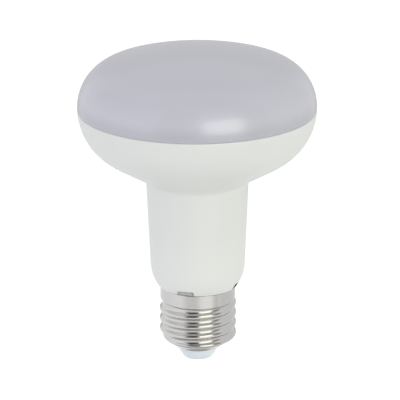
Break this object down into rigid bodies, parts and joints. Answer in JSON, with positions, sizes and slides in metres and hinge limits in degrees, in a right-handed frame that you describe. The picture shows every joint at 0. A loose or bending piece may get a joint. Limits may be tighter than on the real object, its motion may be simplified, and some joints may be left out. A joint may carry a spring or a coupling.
{
  "type": "reflector bulb",
  "caption": "Reflector lamp with a flared white housing, a shallow opal cover, a tall neck and a round-thread screw cap, with its light board and driver inside.",
  "frame": {"origin": "centre of the centre contact's flat face", "axes": "+Z along the lamp's axis from the contact to the opal cover; +X to the viewer's right in the picture"},
  "size_m": [0.08, 0.08, 0.1092],
  "materials": {
    "opal_plastic": "smooth opal, soft gloss",
    "white_plastic": "moulded satin",
    "cap_metal": "bright drawn",
    "insulator_plastic": "pale moulded",
    "contact_metal": "plated",
    "carrier_plastic": "moulded",
    "silicone": "soft",
    "spreader_metal": "pressed",
    "board_metal": "white lacquer",
    "light_source": "yellow resin",
    "screw_steel": "zinc plated",
    "circuit_board": "lacquered",
    "capacitor_yellow": "moulded",
    "black_plastic": "moulded",
    "can_metal": "sleeved can",
    "ferrite": "sintered",
    "copper": "enamelled",
    "varistor_coat": "dipped",
    "resistor_coat": "dipped",
    "lead_red": "insulated"
  },
  "bodies": {
    "root": {"diffuser": "opal_plastic", "housing": "white_plastic", "screw_shell": "cap_metal", "insulator": "insulator_plastic", "centre_contact": "contact_metal", "cap_carrier": "carrier_plastic", "diffuser_seal": "silicone", "heat_spreader": "spreader_metal", "thermal_pad": "silicone", "led_board": "board_metal", "led_packages": "light_source", "board_screws": "screw_steel", "driver_board": "circuit_board", "film_capacitor": "capacitor_yellow", "bridge_rectifier": "black_plastic", "controller_chip": "black_plastic", "input_capacitor": "can_metal", "output_capacitor": "can_metal", "choke": "black_plastic", "transformer_core": "ferrite", "transformer_bobbin": "black_plastic", "transformer_winding": "copper", "varistor": "varistor_coat", "chip_resistors": "black_plastic", "fusible_resistor": "resistor_coat", "live_lead": "copper", "neutral_lead": "black_plastic", "led_lead_positive": "lead_red", "led_lead_negative": "black_plastic"}
  },
  "joints": []
}
